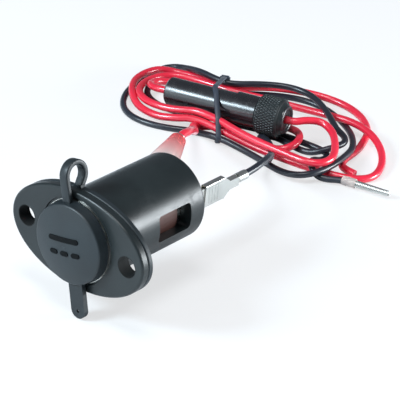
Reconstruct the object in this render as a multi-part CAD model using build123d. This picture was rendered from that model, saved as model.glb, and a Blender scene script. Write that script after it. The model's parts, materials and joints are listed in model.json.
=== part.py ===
import os
from math import acos, atan2, cos, pi, radians, sin, sqrt, tan

from build123d import *

# Panel-mounted 12 V socket with a hinged rubber cap, its two leads and an in-line fuse holder.
# X runs along the screw holes, Y goes into the panel, Z is up.
# The origin is the middle of the screw holes, on the panel's face.

# Flange and gasket
flange_length = 54.4
flange_height = 32.8
flange_thickness = 3.0
flange_edge_round = 0.8
flange_seam_round = 0.5
gasket_thickness = 1.7
gasket_seam_round = 0.5
screw_spacing = 41.6
screw_hole_diameter = 6.8

# Barrel
barrel_diameter = 28.6
barrel_reach = 40.1
barrel_rear_round = 1.2
rear_wall = 2.2
window_length = 15.0
window_height = 9.0
window_rear_margin = 7.1
window_centre_rise = 0.8
window_corner_round = 1.2

# Drawn metal shell inside the barrel
plug_bore = 21.0
mouth_bore = 23.2
mouth_depth = 3.2
mouth_taper = 0.8
well_bore = 18.6
well_depth = 6.0
shell_sheet = 0.5
lip_show = 0.15
lip_recess_margin = 0.8
seat_clearance = 0.1

# Centre contact and its insulators
contact_head_diameter = 8.0
contact_head_height = 1.8
contact_shank_diameter = 3.0
contact_flare_diameter = 5.0
contact_flare_height = 1.0
washer_diameter = 15.0
washer_thickness = 1.5
washer_neck_diameter = 5.0
rear_insulator_thickness = 1.9

# Blade tabs on the rear
blade_width = 6.3
blade_thickness = 0.8
blade_tip_chamfer = 1.2
ground_blade_offset = 8.0
ground_blade_length = 14.4
ground_foot_length = 4.4
live_blade_offset = 9.0
live_blade_drop = 0.5
live_blade_length = 10.5
live_blade_rise = 16.0
live_blade_lean = 17.0
live_blade_root = 1.5
live_lug_eye_diameter = 7.2
live_lug_plate_height = 3.2

# Push-on terminals
terminal_width = 7.8
terminal_sheet = 0.4
terminal_grip_length = 9.5
terminal_taper_length = 3.0
terminal_roll_reach = 2.4
terminal_roll_height = 0.9
terminal_edge_round = 0.36
terminal_crimp_length = 4.5
terminal_crimp_gap = 0.7
terminal_bridge_lift = 0.1
ground_terminal_standoff = 6.4
live_terminal_standoff = 1.7
blade_clearance = 0.05

# Sleeve over the live terminal
sleeve_wall = 0.6
sleeve_start = 1.4
sleeve_end = 21.0
sleeve_clearance = 0.3
sleeve_corner_round = 0.9

# Rubber cap, strap and pull tab
cap_turn = 12.0
cap_base_diameter = 27.2
cap_side_taper = 0.5
cap_height = 3.6
cap_crown = 1.8
cap_edge_round = 0.7
cap_gap = 0.1
spigot_clearance = 0.3
spigot_depth = 2.6
spigot_wall = 1.2
cap_recess_depth = 1.0
tab_width = 5.6
tab_thickness = 1.7
tab_reach = 25.2
tab_front_setback = 1.5
tab_hole_diameter = 1.1
tab_hole_margin = 2.5
strap_width = 3.2
strap_thickness = 1.7
strap_loop_radius = 4.0
strap_loop_height = 21.0
strap_loop_depth = -2.6
strap_cap_gap = 0.15
strap_lug_reach = 17.3
strap_front_setback = 2.1

# Leads
live_wire_diameter = 2.8
ground_wire_diameter = 2.4
bend_share = 0.45
wire_clearance = 0.05
live_straight = 6.0
ground_straight = 8.0
feed_straight = 7.0
fuse_lead_height = 7.0
live_join = -14.6
ground_join = 15.0

# Hank of spare lead, lying on the surface below
floor_level = -25.0
hank_x = -41.2
hank_y = 140.2
hank_angle = 14.0
hank_height = 6.4
hank_edge_round = 1.5
hank_left_place = -33.0
hank_left_length = 40.0
hank_left_width = 54.0
hank_right_place = 17.0
hank_right_length = 71.0
hank_right_width = 70.0
hank_waist_width = 40.0
hank_hole_left = -44.0
hank_hole_front = -14.6
hank_hole_rear = 15.0
hank_hole_corner = 8.0
hank_eye_place = 14.0
hank_eye_diameter = 38.0
hank_join_depth = 0.8

# Tie round the hank
tie_width = 2.0
tie_thickness = 1.0
tie_place = -18.0
tie_gap = 0.1

# In-line fuse holder
fuse_holder_start = -33.7
fuse_holder_offset = -8.6
fuse_holder_height = 8.2
fuse_holder_tilt = 2.5
fuse_tube_diameter = 10.6
fuse_tube_length = 28.0
fuse_collar_diameter = 12.0
fuse_collar_length = 9.0
fuse_neck_diameter = 9.8
fuse_neck_length = 7.0
fuse_bore = 7.0
fuse_end_wall = 3.0
fuse_edge_round = 0.8
fuse_cap_diameter = 14.3
fuse_cap_grip_length = 9.0
fuse_cap_gap = 0.4
fuse_cap_nose_length = 1.2
fuse_cap_nose_diameter = 12.6
fuse_cap_tip_diameter = 10.6
fuse_cap_end_wall = 3.0
fuse_cap_chamfer = 0.5
fuse_thread_clearance = 0.1
fuse_wire_clearance = 0.3
fuse_cap_travel = 2.0

# Glass fuse and its contacts
fuse_length = 31.75
fuse_diameter = 6.35
fuse_glass_wall = 0.7
fuse_end_cap_length = 6.0
fuse_end_cap_sheet = 0.3
fuse_element_diameter = 0.4
fuse_contact_diameter = 6.4
fuse_contact_thickness = 1.5
fuse_spring_wire = 0.7
fuse_spring_diameter = 5.4
fuse_spring_turns = 3
cap_contact_length = 4.0

# Far end of the ground lead
tail_start = 41.4
tail_end = 46.8
tail_side = -25.2
tail_height = 2.4
ferrule_diameter = 3.4
ferrule_length = 5.0
strand_diameter = 1.7
strand_length = 15.0

# Planes along the socket's axis
flange_front = -(gasket_thickness + flange_thickness)
flange_back = -gasket_thickness
lip_front = flange_front
lip_back = lip_front + shell_sheet
mouth_end = lip_front + mouth_depth
bore_start = mouth_end + mouth_taper
rear_face = barrel_reach
rear_wall_front = rear_face - rear_wall
shell_back = rear_wall_front - rear_insulator_thickness
well_floor = shell_back - shell_sheet
bore_end = well_floor - well_depth
window_centre = rear_face - window_rear_margin - window_length / 2
lug_back = rear_face + blade_thickness
barrel_radius = barrel_diameter / 2
lip_diameter = cap_base_diameter + 2 * lip_show
cap_face_diameter = cap_base_diameter - 2 * cap_side_taper
shell_radius = plug_bore / 2 + shell_sheet
well_radius = well_bore / 2 + shell_sheet
mouth_radius = mouth_bore / 2 + shell_sheet

# Turned frames
cap_frame = Rot(0, -cap_turn, 0)
hank_frame = Pos(hank_x, hank_y, floor_level) * Rot(0, 0, hank_angle)
fuse_place = Pos(fuse_holder_start, fuse_holder_offset, fuse_holder_height) * Rot(0, -fuse_holder_tilt, 0)
fuse_frame = hank_frame * fuse_place
ground_blade_frame = Pos(ground_blade_offset, rear_face, 0) * Rot(0, -90, 0)
live_blade_frame = (
    Pos(-live_blade_offset, rear_face, -live_blade_drop)
    * Rot(live_blade_rise, 0, 0)
    * Rot(0, 0, live_blade_lean)
)

nodes = {}


def turned(points):
    # A solid of revolution about Y from its (radius, depth) outline
    profile = make_face(Polyline(*[(r, y) for r, y in points], close=True))
    return revolve(profile, Axis.Y)


def turned_along_x(points):
    # A solid of revolution about X from its (length, radius) outline
    profile = make_face(Polyline(*[(x, r) for x, r in points], close=True))
    return revolve(profile, Axis.X)


def disc(diameter, front, back, x=0.0, z=0.0):
    # A round along Y between two depths
    return Pos(x, (front + back) / 2, z) * Rot(90, 0, 0) * Cylinder(diameter / 2, back - front)


def span_box(x_span, y_span, z_span):
    # A box between two values on each axis
    size = [high - low for low, high in (x_span, y_span, z_span)]
    centre = [(high + low) / 2 for low, high in (x_span, y_span, z_span)]
    return Pos(*centre) * Box(*size)


def oval_plate(front, back):
    # The flange's oval with its two screw holes
    sketch = Ellipse(flange_length / 2, flange_height / 2)
    for side in (-1, 1):
        sketch -= Pos(side * screw_spacing / 2, 0) * Circle(screw_hole_diameter / 2)
    return Pos(0, front, 0) * extrude(Rot(-90, 0, 0) * sketch, back - front, dir=(0, 1, 0))


def socket_housing():
    plate = oval_plate(flange_front, flange_back)
    rims = plate.edges().filter_by(GeomType.CIRCLE, reverse=True).group_by(Axis.Y)
    plate = fillet(rims[0], flange_edge_round)
    rims = plate.edges().filter_by(GeomType.CIRCLE, reverse=True).group_by(Axis.Y)
    plate = fillet(rims[-1], flange_seam_round)
    barrel = disc(barrel_diameter, flange_back, rear_face)
    barrel = fillet(barrel.edges().group_by(Axis.Y)[-1], barrel_rear_round)
    bore = turned(
        [
            (0, flange_front),
            (lip_diameter / 2 + lip_recess_margin, flange_front),
            (lip_diameter / 2 + lip_recess_margin, lip_back),
            (mouth_radius + seat_clearance, lip_back),
            (mouth_radius + seat_clearance, mouth_end),
            (shell_radius + seat_clearance, bore_start),
            (shell_radius + seat_clearance, bore_end + shell_sheet),
            (well_radius + seat_clearance, bore_end + shell_sheet),
            (well_radius + seat_clearance, rear_wall_front),
            (0, rear_wall_front),
        ]
    )
    window = Pos(0, window_centre, window_centre_rise) * Rot(0, 90, 0) * extrude(
        RectangleRounded(window_height, window_length, window_corner_round), barrel_diameter
    )
    blade_slot = span_box(
        (ground_blade_offset - blade_thickness / 2 - seat_clearance,
         ground_blade_offset + blade_thickness / 2 + seat_clearance),
        (rear_wall_front, rear_face),
        (-blade_width / 2 - seat_clearance, blade_width / 2 + seat_clearance),
    )
    shank_hole = disc(contact_shank_diameter + 2 * seat_clearance, rear_wall_front, rear_face)
    return plate + barrel - bore - window - blade_slot - shank_hole


def gasket():
    sheet = oval_plate(flange_back, 0)
    rims = sheet.edges().filter_by(GeomType.CIRCLE, reverse=True).group_by(Axis.Y)
    sheet = fillet(rims[0], gasket_seam_round)
    sheet -= disc(barrel_diameter + 2 * seat_clearance, flange_back, 0)
    lug = span_box(
        (-strap_width / 2, strap_width / 2),
        (flange_back, 0),
        (barrel_radius + seat_clearance, strap_lug_reach),
    )
    return sheet + cap_frame * lug - disc(barrel_diameter + 2 * seat_clearance, flange_back, 0)


def contact_shell():
    return turned(
        [
            (mouth_bore / 2, lip_front),
            (lip_diameter / 2, lip_front),
            (lip_diameter / 2, lip_back),
            (mouth_radius, lip_back),
            (mouth_radius, mouth_end),
            (shell_radius, bore_start),
            (shell_radius, bore_end + shell_sheet),
            (well_radius, bore_end + shell_sheet),
            (well_radius, shell_back),
            (washer_neck_diameter / 2 + seat_clearance, shell_back),
            (washer_neck_diameter / 2 + seat_clearance, well_floor),
            (well_bore / 2, well_floor),
            (well_bore / 2, bore_end),
            (plug_bore / 2, bore_end),
            (plug_bore / 2, bore_start),
            (mouth_bore / 2, mouth_end),
        ]
    )


def contact_washer():
    washer = disc(washer_diameter, well_floor - washer_thickness, well_floor)
    neck = disc(washer_neck_diameter, well_floor, shell_back)
    return washer + neck - disc(contact_shank_diameter, well_floor - washer_thickness, shell_back)


def centre_contact():
    seat = well_floor - washer_thickness
    head = disc(contact_head_diameter, seat - contact_head_height, seat)
    head = fillet(head.edges().group_by(Axis.Y)[0], contact_head_height / 2)
    shank = disc(contact_shank_diameter, seat, lug_back)
    flare = disc(contact_flare_diameter, lug_back, lug_back + contact_flare_height)
    flare = fillet(flare.edges().group_by(Axis.Y)[-1], contact_flare_height / 2)
    return head + shank + flare


def rear_insulator():
    body = disc(well_radius * 2, shell_back, rear_wall_front)
    body -= disc(contact_shank_diameter, shell_back, rear_wall_front)
    foot_space = span_box(
        (ground_blade_offset - ground_foot_length - seat_clearance, well_radius),
        (shell_back, rear_wall_front),
        (-blade_width / 2 - seat_clearance, blade_width / 2 + seat_clearance),
    )
    return body - foot_space


def blade(length):
    # A flat tab along +Y with its tip corners cut back, from the frame's origin
    tab = span_box(
        (-blade_width / 2, blade_width / 2), (0, length), (-blade_thickness / 2, blade_thickness / 2)
    )
    corners = tab.edges().filter_by(Axis.Z).group_by(Axis.Y)[-1]
    return chamfer(corners, blade_tip_chamfer)


def ground_blade():
    inner = shell_back - rear_face
    tab = ground_blade_frame * (
        blade(ground_blade_length)
        + span_box(
            (-blade_width / 2, blade_width / 2), (inner, 0), (-blade_thickness / 2, blade_thickness / 2)
        )
    )
    foot = span_box(
        (ground_blade_offset - ground_foot_length, ground_blade_offset),
        (shell_back, shell_back + blade_thickness),
        (-blade_width / 2, blade_width / 2),
    )
    return tab + foot


def live_lug():
    plate_top = blade_thickness / 2 - live_blade_drop
    plate = span_box(
        (-live_blade_offset - blade_width / 2, 0),
        (rear_face, lug_back),
        (plate_top - live_lug_plate_height, plate_top),
    )
    eye = disc(live_lug_eye_diameter, rear_face, lug_back)
    tab = live_blade_frame * Pos(0, -live_blade_root, 0) * blade(live_blade_length + live_blade_root)
    ahead_of_face = span_box(
        (-barrel_radius, barrel_radius), (0, rear_face), (-barrel_radius, barrel_radius)
    )
    return plate + eye + tab - ahead_of_face - disc(contact_shank_diameter, rear_face, lug_back)


def terminal(wire_diameter):
    # A push-on terminal along +Y: rolled grip, tapered neck, wire crimp and insulation crimp
    half = terminal_width / 2
    low = -blade_thickness / 2 - blade_clearance - terminal_sheet
    base_top = low + terminal_sheet
    lip_low = blade_thickness / 2 + blade_clearance
    roll_top = lip_low + terminal_roll_height
    inner = half - terminal_roll_reach
    section = Polyline(
        (0, low),
        (half, low),
        (half, roll_top),
        (inner, roll_top),
        (inner, lip_low),
        (inner + terminal_sheet, lip_low),
        (inner + terminal_sheet, roll_top - terminal_sheet),
        (half - terminal_sheet, roll_top - terminal_sheet),
        (half - terminal_sheet, base_top),
        (0, base_top),
        close=True,
    )
    side = make_face(section)
    grip_face = Plane.XZ * (side + mirror(side, Plane.YZ))
    grip = extrude(grip_face, terminal_grip_length, dir=(0, 1, 0))
    outer_edges = grip.edges().filter_by(Axis.Y).group_by(lambda e: round(abs(e.center().X), 3))[-1]
    grip = fillet(outer_edges, terminal_edge_round)

    crimp_radius = wire_diameter / 2 + terminal_sheet
    axis_rise = terminal_wire_rise(wire_diameter)
    neck_end = terminal_grip_length + terminal_taper_length
    neck_outline = Polyline(
        (-half, terminal_grip_length),
        (half, terminal_grip_length),
        (crimp_radius, neck_end),
        (crimp_radius, neck_end + terminal_crimp_length),
        (-crimp_radius, neck_end + terminal_crimp_length),
        (-crimp_radius, neck_end),
        close=True,
    )
    neck = Pos(0, 0, low) * extrude(make_face(neck_outline), terminal_sheet)
    crimps = []
    start = neck_end
    for radius in (crimp_radius, crimp_radius + wire_clearance):
        barrel = disc(2 * radius, start, start + terminal_crimp_length, z=axis_rise)
        hole_radius = radius - terminal_sheet
        barrel -= disc(2 * hole_radius, start, start + terminal_crimp_length, z=axis_rise)
        crimps.append(barrel)
        start += terminal_crimp_length + terminal_crimp_gap
    bridge_start = neck_end + terminal_crimp_length
    bridge = span_box(
        (-crimp_radius / 2, crimp_radius / 2),
        (bridge_start, bridge_start + terminal_crimp_gap),
        (low + terminal_bridge_lift, low + terminal_sheet - terminal_bridge_lift),
    )
    return grip + neck + crimps[0] + bridge + crimps[1]


def terminal_wire_rise(wire_diameter):
    # How far the wire's axis lies above the middle of the blade
    low = -blade_thickness / 2 - blade_clearance - terminal_sheet
    return low + wire_diameter / 2 + terminal_sheet + wire_clearance


def terminal_wire_start():
    # Where the insulation crimp begins
    neck_end = terminal_grip_length + terminal_taper_length
    return neck_end + terminal_crimp_length + terminal_crimp_gap


def live_sleeve():
    # A translucent boot, flat over the grip and narrowing to the wire
    half = terminal_width / 2 + sleeve_clearance
    rise = terminal_wire_rise(live_wire_diameter)
    end_radius = live_wire_diameter / 2 + terminal_sheet + wire_clearance + sleeve_clearance

    def boot(growth):
        radius = end_radius + growth
        flat = RectangleRounded(2 * (half + growth), 2 * radius, sleeve_corner_round + growth)
        round_end = Circle(radius)
        front = Plane((0, sleeve_start, rise), x_dir=(1, 0, 0), z_dir=(0, 1, 0))
        shoulder = Plane((0, terminal_grip_length, rise), x_dir=(1, 0, 0), z_dir=(0, 1, 0))
        back = Plane((0, sleeve_end, rise), x_dir=(1, 0, 0), z_dir=(0, 1, 0))
        grip = extrude(front * flat, terminal_grip_length - sleeve_start, dir=(0, 1, 0))
        return grip + loft([shoulder * flat, back * round_end])

    return boot(sleeve_wall) - boot(0)


def cap_plug():
    back = lip_front - cap_gap
    face = back - cap_height
    crown = face - cap_crown
    base_r = cap_base_diameter / 2
    face_r = cap_face_diameter / 2
    spigot_r = mouth_bore / 2 - spigot_clearance
    hollow_r = spigot_r - spigot_wall
    side = Polyline(
        (0, back - cap_recess_depth),
        (hollow_r, back - cap_recess_depth),
        (hollow_r, back + spigot_depth),
        (spigot_r, back + spigot_depth),
        (spigot_r, back),
        (base_r, back),
        (face_r, face),
    )
    dome_radius = (face_r**2 + cap_crown**2) / (2 * cap_crown)
    half_way = (face_r / 2, crown + dome_radius - sqrt(dome_radius**2 - (face_r / 2) ** 2))
    dome = ThreePointArc((face_r, face), half_way, (0, crown))
    close = Line((0, crown), (0, back - cap_recess_depth))
    body = revolve(make_face(side.edges() + dome.edges() + close.edges()), Axis.Y)
    rim = body.edges().filter_by(GeomType.CIRCLE).sort_by(lambda e: abs(e.radius - face_r))[0]
    body = fillet(rim, cap_edge_round)

    tip_w = tab_reach - tab_width / 2
    root_w = face_r - tab_width / 2
    outline = Pos(0, -(tip_w + root_w) / 2) * Rectangle(tab_width, tip_w - root_w)
    outline += Pos(0, -tip_w) * Circle(tab_width / 2)
    outline -= Pos(0, -tab_reach + tab_hole_margin) * Circle(tab_hole_diameter / 2)
    tab_front = face + tab_front_setback
    tab = Pos(0, tab_front, 0) * extrude(Rot(90, 0, 0) * outline, tab_thickness, dir=(0, 1, 0))
    return cap_frame * (body + tab)


def tangent_point(centre, radius, point, side):
    # The point of a circle whose tangent passes through another point
    dy, dz = point[0] - centre[0], point[1] - centre[1]
    reach = sqrt(dy * dy + dz * dz)
    angle = atan2(dz, dy) + side * acos(radius / reach)
    return (centre[0] + radius * cos(angle), centre[1] + radius * sin(angle))


def strap_wall_height():
    # The cap's side wall at the depth where the strap leaves it
    depth = strap_front_setback / cap_height
    return (cap_face_diameter + (cap_base_diameter - cap_face_diameter) * depth) / 2


def cap_strap():
    back = lip_front - cap_gap
    start = (back - cap_height + strap_front_setback, strap_wall_height() + strap_cap_gap)
    finish = (flange_back / 2, strap_lug_reach)
    centre = (strap_loop_depth, strap_loop_height)
    rise = tangent_point(centre, strap_loop_radius, start, -1)
    fall = tangent_point(centre, strap_loop_radius, finish, 1)
    top = (strap_loop_depth, strap_loop_height + strap_loop_radius)
    spots = [Vector(0, y, z) for y, z in (start, rise, top, fall, finish)]
    beyond = spots[4] + (spots[4] - spots[3]).normalized() * strap_thickness
    path = Line(spots[0], spots[1]) + ThreePointArc(spots[1], spots[2], spots[3]) + Line(spots[3], beyond)
    start_plane = Plane(spots[0], x_dir=(1, 0, 0), z_dir=spots[1] - spots[0])
    ribbon = sweep(start_plane * Rectangle(strap_width, strap_thickness), path=path)
    lug_side = span_box(
        (-strap_width, strap_width),
        (strap_loop_depth - strap_thickness, strap_loop_radius),
        (0, strap_lug_reach),
    )
    return cap_frame * (ribbon - lug_side)


def bend_radii(points):
    # Each bend is as large as the shorter of its two runs allows
    radii = []
    for before, corner, after in zip(points, points[1:], points[2:]):
        turn = (corner - before).get_angle(after - corner)
        run = min((corner - before).length, (after - corner).length)
        radii.append(bend_share * run / tan(radians(turn) / 2))
    return radii


def cord_tube(name, points, diameter):
    # A lead of straight runs and tangent arcs through the given points
    spots = [Vector(*p) for p in points]
    radii = bend_radii(spots)
    if radii:
        path = FilletPolyline(*spots, radius=radii)
    else:
        path = Line(*spots)
    section = Plane(path @ 0, z_dir=path % 0) * Circle(diameter / 2)
    tube = sweep(section, path=path)
    expected = pi * diameter**2 / 4 * path.length
    print(name, "length", round(path.length, 1), "radii", [round(r, 1) for r in radii])
    print(name, "volume", round(tube.volume / expected, 4), "of section times length")
    return tube


def on_hank(x, y, height):
    # A point given in the hank's own frame
    return tuple((hank_frame * Pos(x, y, height)).position)


def on_fuse(distance):
    # A point on the fuse holder's axis
    return tuple((fuse_frame * Pos(distance, 0, 0)).position)


def lead_out(frame, wire_diameter, distance):
    # A point on a terminal's wire axis
    return tuple((frame * Pos(0, distance, terminal_wire_rise(wire_diameter))).position)


def lead_hank():
    # The coiled turns as one ring, drawn in at its waist by the tie
    outer = Pos(hank_left_place, 0) * Ellipse(hank_left_length / 2, hank_left_width / 2)
    outer += Pos(hank_right_place, 0) * Ellipse(hank_right_length / 2, hank_right_width / 2)
    outer += Pos((hank_left_place + hank_eye_place) / 2, 0) * Rectangle(
        hank_eye_place - hank_left_place, hank_waist_width
    )
    hole = RectangleRounded(
        hank_eye_place - hank_hole_left, hank_hole_rear - hank_hole_front, hank_hole_corner
    )
    hole = Pos((hank_hole_left + hank_eye_place) / 2, (hank_hole_front + hank_hole_rear) / 2) * hole
    hole += Pos(hank_eye_place, 0) * Circle(hank_eye_diameter / 2)
    ring = extrude(outer - hole, hank_height)
    ring = chamfer(ring.edges().filter_by(Plane.XY), hank_edge_round)
    return hank_frame * Pos(0, 0, hank_base) * ring


def hank_front(x):
    # The ring's front edge at a place along its length
    reach = hank_waist_width / 2
    for place, length, width in (
        (hank_left_place, hank_left_length, hank_left_width),
        (hank_right_place, hank_right_length, hank_right_width),
    ):
        share = (x - place) / (length / 2)
        if abs(share) < 1:
            reach = max(reach, width / 2 * sqrt(1 - share**2))
    return -reach


def cable_tie():
    # A thin band pulled tight under the hank and over the fuse holder
    reach = -hank_front(tie_place - tie_width / 2)
    bundle = Pos(0, hank_base + hank_height / 2) * RectangleRounded(2 * reach, hank_height, hank_edge_round)
    tube_height = fuse_holder_height + (tie_place - fuse_holder_start) * tan(radians(fuse_holder_tilt))
    tube = Pos(fuse_holder_offset, tube_height) * Circle(fuse_tube_diameter / 2)
    inside = offset(make_hull(bundle.edges() + tube.edges()), tie_gap, kind=Kind.ARC)
    band = offset(inside, tie_thickness, kind=Kind.ARC) - inside
    strip = extrude(Plane.YZ * band, tie_width / 2, both=True)
    return hank_frame * Pos(tie_place, 0, 0) * strip


def fuse_holder_body():
    tube_r = fuse_tube_diameter / 2
    collar_end = fuse_tube_length + fuse_collar_length
    neck_end = collar_end + fuse_neck_length
    wire_r = live_wire_diameter / 2 + fuse_wire_clearance
    body = turned_along_x(
        [
            (0, wire_r),
            (0, tube_r - fuse_edge_round),
            (fuse_edge_round, tube_r),
            (fuse_tube_length, tube_r),
            (fuse_tube_length, fuse_collar_diameter / 2),
            (collar_end, fuse_collar_diameter / 2),
            (collar_end, fuse_neck_diameter / 2),
            (neck_end, fuse_neck_diameter / 2),
            (neck_end, fuse_bore / 2),
            (fuse_end_wall, fuse_bore / 2),
            (fuse_end_wall, wire_r),
        ]
    )
    return fuse_frame * body


fuse_collar_end = fuse_tube_length + fuse_collar_length
fuse_neck_end = fuse_collar_end + fuse_neck_length
fuse_cap_start = fuse_collar_end + fuse_cap_gap
fuse_grip_end = fuse_cap_start + fuse_cap_grip_length
fuse_tip = fuse_grip_end + fuse_cap_nose_length
fuse_chamber_end = fuse_tip - fuse_cap_end_wall
cap_contact_end = fuse_chamber_end - seat_clearance
cap_contact_start = cap_contact_end - cap_contact_length
fuse_start = cap_contact_start - fuse_length
hank_base = tie_thickness + tie_gap


def fuse_holder_cap():
    grip_r = fuse_cap_diameter / 2
    thread_r = fuse_neck_diameter / 2 + fuse_thread_clearance
    chamber_r = fuse_bore / 2 + fuse_thread_clearance
    shelf = fuse_neck_end + fuse_thread_clearance
    wire_r = live_wire_diameter / 2 + fuse_wire_clearance
    cap = turned_along_x(
        [
            (fuse_cap_start, thread_r),
            (fuse_cap_start, grip_r - fuse_cap_chamfer),
            (fuse_cap_start + fuse_cap_chamfer, grip_r),
            (fuse_grip_end - fuse_cap_chamfer, grip_r),
            (fuse_grip_end, grip_r - fuse_cap_chamfer),
            (fuse_grip_end, fuse_cap_nose_diameter / 2),
            (fuse_tip, fuse_cap_tip_diameter / 2),
            (fuse_tip, wire_r),
            (fuse_chamber_end, wire_r),
            (fuse_chamber_end, chamber_r),
            (shelf, chamber_r),
            (shelf, thread_r),
        ]
    )
    return fuse_frame * cap


def fuse_cap_contact():
    contact = turned_along_x(
        [
            (cap_contact_start, 0),
            (cap_contact_start, fuse_contact_diameter / 2),
            (cap_contact_end, fuse_contact_diameter / 2),
            (cap_contact_end, live_wire_diameter / 2 + fuse_wire_clearance),
            (cap_contact_start + fuse_contact_thickness, live_wire_diameter / 2 + fuse_wire_clearance),
            (cap_contact_start + fuse_contact_thickness, 0),
        ]
    )
    return fuse_frame * contact


def fuse_body_contact():
    plate = turned_along_x(
        [
            (fuse_end_wall, 0),
            (fuse_end_wall, fuse_contact_diameter / 2),
            (fuse_end_wall + fuse_contact_thickness, fuse_contact_diameter / 2),
            (fuse_end_wall + fuse_contact_thickness, 0),
        ]
    )
    return fuse_frame * plate


def fuse_spring():
    # A coil spring pressed between the body contact and the fuse
    low = fuse_end_wall + fuse_contact_thickness
    travel = fuse_start - low - fuse_spring_wire
    coil_radius = (fuse_spring_diameter - fuse_spring_wire) / 2
    path = Helix(travel / fuse_spring_turns, travel, coil_radius)
    section = Plane(path @ 0, z_dir=path % 0) * Circle(fuse_spring_wire / 2)
    coil = sweep(section, path=path, is_frenet=True)
    return fuse_frame * Pos(low + fuse_spring_wire / 2, 0, 0) * Rot(0, 90, 0) * coil


def fuse_glass():
    inner_r = fuse_diameter / 2 - fuse_end_cap_sheet
    tube = turned_along_x(
        [
            (fuse_start + fuse_end_cap_sheet, inner_r - fuse_glass_wall),
            (fuse_start + fuse_end_cap_sheet, inner_r),
            (fuse_start + fuse_length - fuse_end_cap_sheet, inner_r),
            (fuse_start + fuse_length - fuse_end_cap_sheet, inner_r - fuse_glass_wall),
        ]
    )
    return fuse_frame * tube


def fuse_end_cap(closed_end, direction):
    # A drawn cup over one end of the glass
    floor = closed_end + direction * fuse_end_cap_sheet
    rim = closed_end + direction * fuse_end_cap_length
    cup = turned_along_x(
        [
            (closed_end, 0),
            (closed_end, fuse_diameter / 2),
            (rim, fuse_diameter / 2),
            (rim, fuse_diameter / 2 - fuse_end_cap_sheet),
            (floor, fuse_diameter / 2 - fuse_end_cap_sheet),
            (floor, 0),
        ]
    )
    return fuse_frame * cup


def fuse_element():
    length = fuse_length - 2 * fuse_end_cap_sheet
    wire = Rot(0, 90, 0) * Cylinder(fuse_element_diameter / 2, length)
    return fuse_frame * Pos(fuse_start + fuse_length / 2, 0, 0) * wire


live_terminal_frame = live_blade_frame * Pos(0, live_terminal_standoff, 0)
ground_terminal_frame = ground_blade_frame * Pos(0, ground_terminal_standoff, 0)
wire_start = terminal_wire_start()

# Where each lead meets the hank, and how it runs there from its terminal
live_route = [
    lead_out(live_terminal_frame, live_wire_diameter, wire_start),
    lead_out(live_terminal_frame, live_wire_diameter, wire_start + live_straight),
    (-17.6, 68.0, 5.9),
    (-21.2, 74.6, 3.2),
    (-27.6, 84.0, -2.6),
    (-34.8, 94.0, -9.3),
    (-42.2, 103.4, -15.1),
    on_hank(live_join, hank_front(live_join) + hank_join_depth, 5.0),
]
ground_route = [
    lead_out(ground_terminal_frame, ground_wire_diameter, wire_start),
    lead_out(ground_terminal_frame, ground_wire_diameter, wire_start + ground_straight),
    (6.2, 79.5, 0.4),
    (3.5, 87.0, -1.0),
    (-1.0, 94.0, -5.0),
    (-6.5, 101.0, -10.5),
    (-12.5, 107.0, -16.0),
    on_hank(ground_join, hank_front(ground_join) + hank_join_depth, 4.0),
]
fuse_route = [
    on_hank(hank_hole_left - hank_join_depth, fuse_holder_offset, fuse_lead_height),
    on_fuse(fuse_end_wall - seat_clearance),
]
feed_wire_end = cap_contact_start + fuse_contact_thickness + fuse_cap_travel + fuse_wire_clearance
feed_route = [
    on_fuse(feed_wire_end),
    on_fuse(feed_wire_end + feed_straight),
    on_hank(24.2, -7.4, 10.4),
    on_hank(29.8, -8.8, 8.8),
    on_hank(33.5, -12.4, 6.6),
]
tail_route = [on_hank(tail_start, tail_side, tail_height), on_hank(tail_end, tail_side, tail_height)]


def tail_piece(start, length, outer_diameter, inner_diameter=0.0):
    # A round piece on the ground lead's far end, along the hank's length
    piece = Cylinder(outer_diameter / 2, length)
    if inner_diameter:
        piece -= Cylinder(inner_diameter / 2, length)
    return hank_frame * Pos(start + length / 2, tail_side, tail_height) * Rot(0, 90, 0) * piece


ferrule_start = tail_end - ferrule_length / 2

nodes["socket_housing"] = socket_housing()
nodes["gasket"] = gasket()
nodes["contact_shell"] = contact_shell()
nodes["contact_washer"] = contact_washer()
nodes["centre_contact"] = centre_contact()
nodes["rear_insulator"] = rear_insulator()
nodes["ground_blade"] = ground_blade()
nodes["live_lug"] = live_lug()
nodes["ground_terminal"] = ground_terminal_frame * terminal(ground_wire_diameter)
nodes["live_terminal"] = live_terminal_frame * terminal(live_wire_diameter)
nodes["live_terminal_sleeve"] = live_terminal_frame * live_sleeve()
nodes["cap"] = cap_plug()
nodes["cap_strap"] = cap_strap()
nodes["live_lead"] = cord_tube("live_lead", live_route, live_wire_diameter)
nodes["ground_lead"] = cord_tube("ground_lead", ground_route, ground_wire_diameter)
nodes["lead_hank"] = lead_hank()
nodes["cable_tie"] = cable_tie()
nodes["fuse_lead"] = cord_tube("fuse_lead", fuse_route, live_wire_diameter)
nodes["feed_lead"] = cord_tube("feed_lead", feed_route, live_wire_diameter)
nodes["ground_tail"] = cord_tube("ground_tail", tail_route, ground_wire_diameter)
nodes["ground_end_ferrule"] = tail_piece(
    ferrule_start, ferrule_length, ferrule_diameter, ground_wire_diameter
)
nodes["ground_end_strands"] = tail_piece(tail_end, strand_length, strand_diameter)
nodes["fuse_holder_body"] = fuse_holder_body()
nodes["fuse_holder_cap"] = fuse_holder_cap()
nodes["fuse_cap_contact"] = fuse_cap_contact()
nodes["fuse_body_contact"] = fuse_body_contact()
nodes["fuse_spring"] = fuse_spring()
nodes["fuse_glass"] = fuse_glass()
nodes["fuse_end_cap_live"] = fuse_end_cap(fuse_start, 1)
nodes["fuse_end_cap_feed"] = fuse_end_cap(fuse_start + fuse_length, -1)
nodes["fuse_element"] = fuse_element()

os.makedirs("parts", exist_ok=True)
for name, solid in nodes.items():
    export_step(solid, f"parts/{name}.step")
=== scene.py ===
import json
import math

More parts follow.
